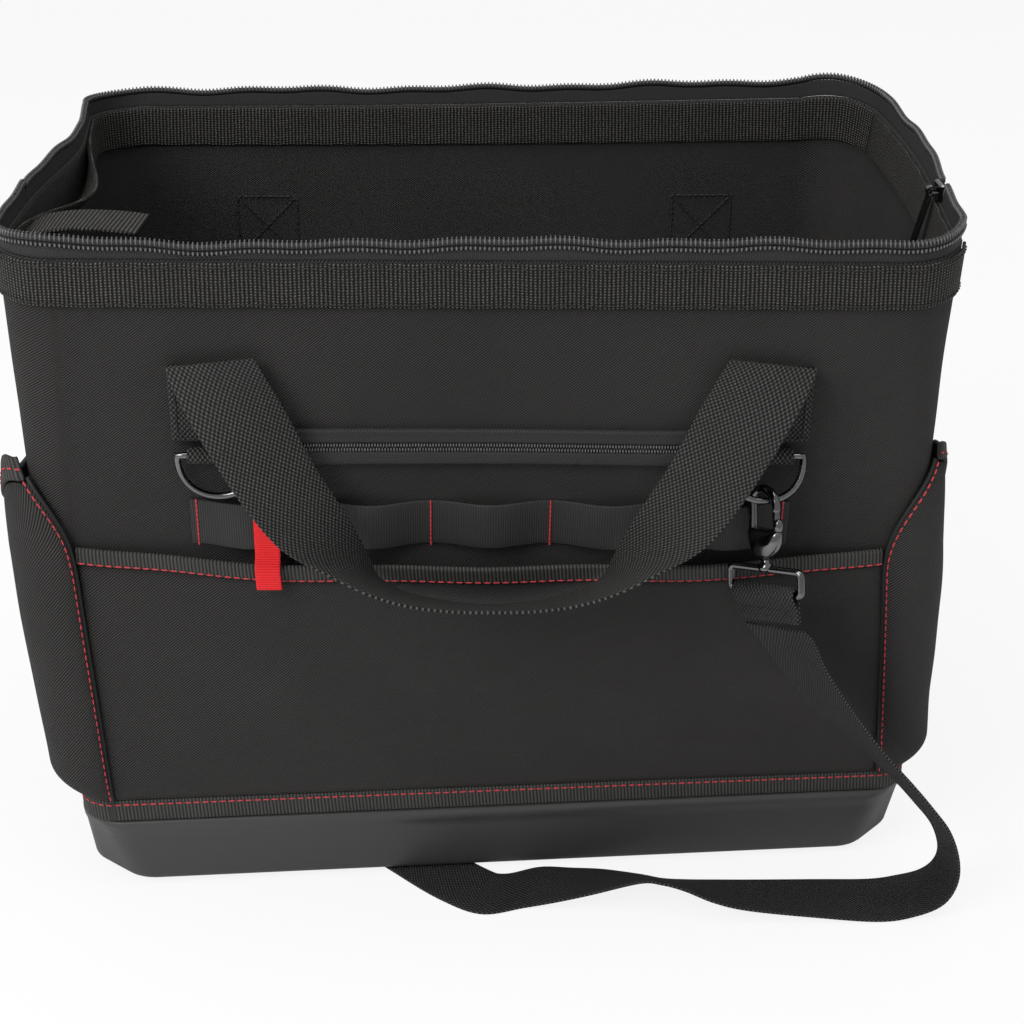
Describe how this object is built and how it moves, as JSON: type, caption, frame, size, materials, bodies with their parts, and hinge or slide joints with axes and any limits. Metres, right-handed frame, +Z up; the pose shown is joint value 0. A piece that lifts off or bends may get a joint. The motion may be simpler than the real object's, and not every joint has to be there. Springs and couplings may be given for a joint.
{
  "type": "tool bag",
  "caption": "Open-mouthed soft tool bag on a moulded tub, with outer pockets, elastic tool loops, two webbing handles and a shoulder strap clipped on by swivel snap hooks.",
  "frame": {"origin": "centre of the overall width and depth, without the shoulder strap and its end pieces, on the floor under the feet", "axes": "+X along the bag's length to the right, -Y out of the front face with the zip pocket, +Z up"},
  "size_m": [0.4538, 0.3461, 0.341],
  "materials": {
    "twill": "black twill on a stiffener",
    "webbing": "ribbed black webbing",
    "hem_tape": "ribbed black tape",
    "tub_plastic": "satin black, finely grained",
    "board": "matte black",
    "zip": "black tape and nylon coil",
    "red_ribbon": "red ribbon",
    "hardware": "black nickel, bright highlights"
  },
  "bodies": {
    "bag": {"back_hook_eye": "hardware", "back_left_anchor": "webbing", "back_lining_band": "webbing", "back_panel": "twill", "back_pocket": "twill", "back_pocket_hem": "hem_tape", "back_right_anchor": "webbing", "back_rim_band": "webbing", "back_zip_coil": "zip", "back_zip_tape": "zip", "base_hem_tape": "hem_tape", "base_tub": "tub_plastic", "floor_board": "board", "front_hook_eye": "hardware", "front_left_anchor": "webbing", "front_lining_band": "webbing", "front_panel": "twill", "front_pocket": "twill", "front_pocket_hem": "hem_tape", "front_right_anchor": "webbing", "front_rim_band": "webbing", "front_zip_coil": "zip", "front_zip_tape": "zip", "left_gusset": "twill", "left_lining_band": "webbing", "left_side_pocket": "twill", "left_side_pocket_hem": "hem_tape", "main_zip_slider": "hardware", "red_tab": "red_ribbon", "right_gusset": "twill", "right_lining_band": "webbing", "right_side_pocket": "twill", "right_side_pocket_hem": "hem_tape", "shoulder_strap": "webbing", "strap_adjuster": "hardware", "strap_back_loop": "webbing", "strap_front_loop": "webbing", "tool_loops": "webbing", "zip_end_tab": "webbing", "zip_pocket_coil": "zip", "zip_pocket_lower_welt": "twill", "zip_pocket_pouch": "twill", "zip_pocket_tape": "zip", "zip_pocket_upper_welt": "twill"},
    "front_handle": {"front_handle": "webbing"},
    "back_handle": {"back_handle": "webbing"},
    "front_left_d_ring": {"front_left_d_ring": "hardware"},
    "front_right_d_ring": {"front_right_d_ring": "hardware"},
    "back_left_d_ring": {"back_left_d_ring": "hardware"},
    "back_right_d_ring": {"back_right_d_ring": "hardware"},
    "front_hook": {"front_hook_body": "hardware"},
    "front_hook_gate": {"front_hook_gate": "hardware"},
    "back_hook": {"back_hook_body": "hardware"},
    "back_hook_gate": {"back_hook_gate": "hardware"},
    "zip_pocket_slider": {"zip_pocket_slider": "hardware"},
    "zip_pocket_pull": {"zip_pocket_pull": "hardware"},
    "main_zip_pull": {"main_zip_pull": "hardware"}
  },
  "joints": [
    {"name": "front_handle_swing", "type": "hinge", "parent": "bag", "child": "front_handle", "pos_m": [0.0062, -0.12787, 0.277], "axis": [-1, 0, 0], "range_deg": [0, 140]},
    {"name": "back_handle_swing", "type": "hinge", "parent": "bag", "child": "back_handle", "pos_m": [0.0062, 0.12787, 0.277], "axis": [1, 0, 0], "range_deg": [0, 140]},
    {"name": "front_left_d_ring_swing", "type": "hinge", "parent": "bag", "child": "front_left_d_ring", "pos_m": [-0.1123, -0.12501, 0.2329], "axis": [-1, 0, 0], "range_deg": [0, 75]},
    {"name": "back_right_d_ring_swing", "type": "hinge", "parent": "bag", "child": "back_right_d_ring", "pos_m": [0.1247, 0.12501, 0.2329], "axis": [1, 0, 0], "range_deg": [0, 75]},
    {"name": "front_right_d_ring_swing", "type": "hinge", "parent": "bag", "child": "front_right_d_ring", "pos_m": [0.1247, -0.12501, 0.2329], "axis": [-1, 0, 0], "range_deg": [-0.6, 0.6]},
    {"name": "back_left_d_ring_swing", "type": "hinge", "parent": "bag", "child": "back_left_d_ring", "pos_m": [-0.1123, 0.12501, 0.2329], "axis": [1, 0, 0], "range_deg": [-0.6, 0.6]},
    {"name": "front_hook_swivel", "type": "hinge", "parent": "bag", "child": "front_hook", "pos_m": [0.12596, -0.14199, 0.18859], "axis": [-0.045, 0.3, 0.9529], "range_deg": [-45, 3]},
    {"name": "back_hook_swivel", "type": "hinge", "parent": "bag", "child": "back_hook", "pos_m": [-0.11356, 0.14199, 0.18859], "axis": [0.045, -0.3, 0.9529], "range_deg": [-45, 3]},
    {"name": "front_hook_gate_hinge", "type": "hinge", "parent": "front_hook", "child": "front_hook_gate", "pos_m": [0.12935, -0.14338, 0.20441], "axis": [-0.8315, -0.54, 0.1307], "range_deg": [0, 25], "stiffness_Nm_per_rad": 0.02},
    {"name": "back_hook_gate_hinge", "type": "hinge", "parent": "back_hook", "child": "back_hook_gate", "pos_m": [-0.11695, 0.14338, 0.20441], "axis": [0.8315, 0.54, 0.1307], "range_deg": [0, 25], "stiffness_Nm_per_rad": 0.02},
    {"name": "zip_pocket_slide", "type": "slide", "parent": "bag", "child": "zip_pocket_slider", "axis": [1, 0, 0], "range_m": [0, 0.176]},
    {"name": "zip_pocket_pull_swing", "type": "hinge", "parent": "zip_pocket_slider", "child": "zip_pocket_pull", "pos_m": [-0.0818, -0.13101, 0.2365], "axis": [-1, 0, 0], "range_deg": [0, 20]},
    {"name": "main_zip_pull_swing", "type": "hinge", "parent": "bag", "child": "main_zip_pull", "pos_m": [0.206, -0.04057, 0.32631], "axis": [0, 1, 0], "range_deg": [0, 110]}
  ]
}
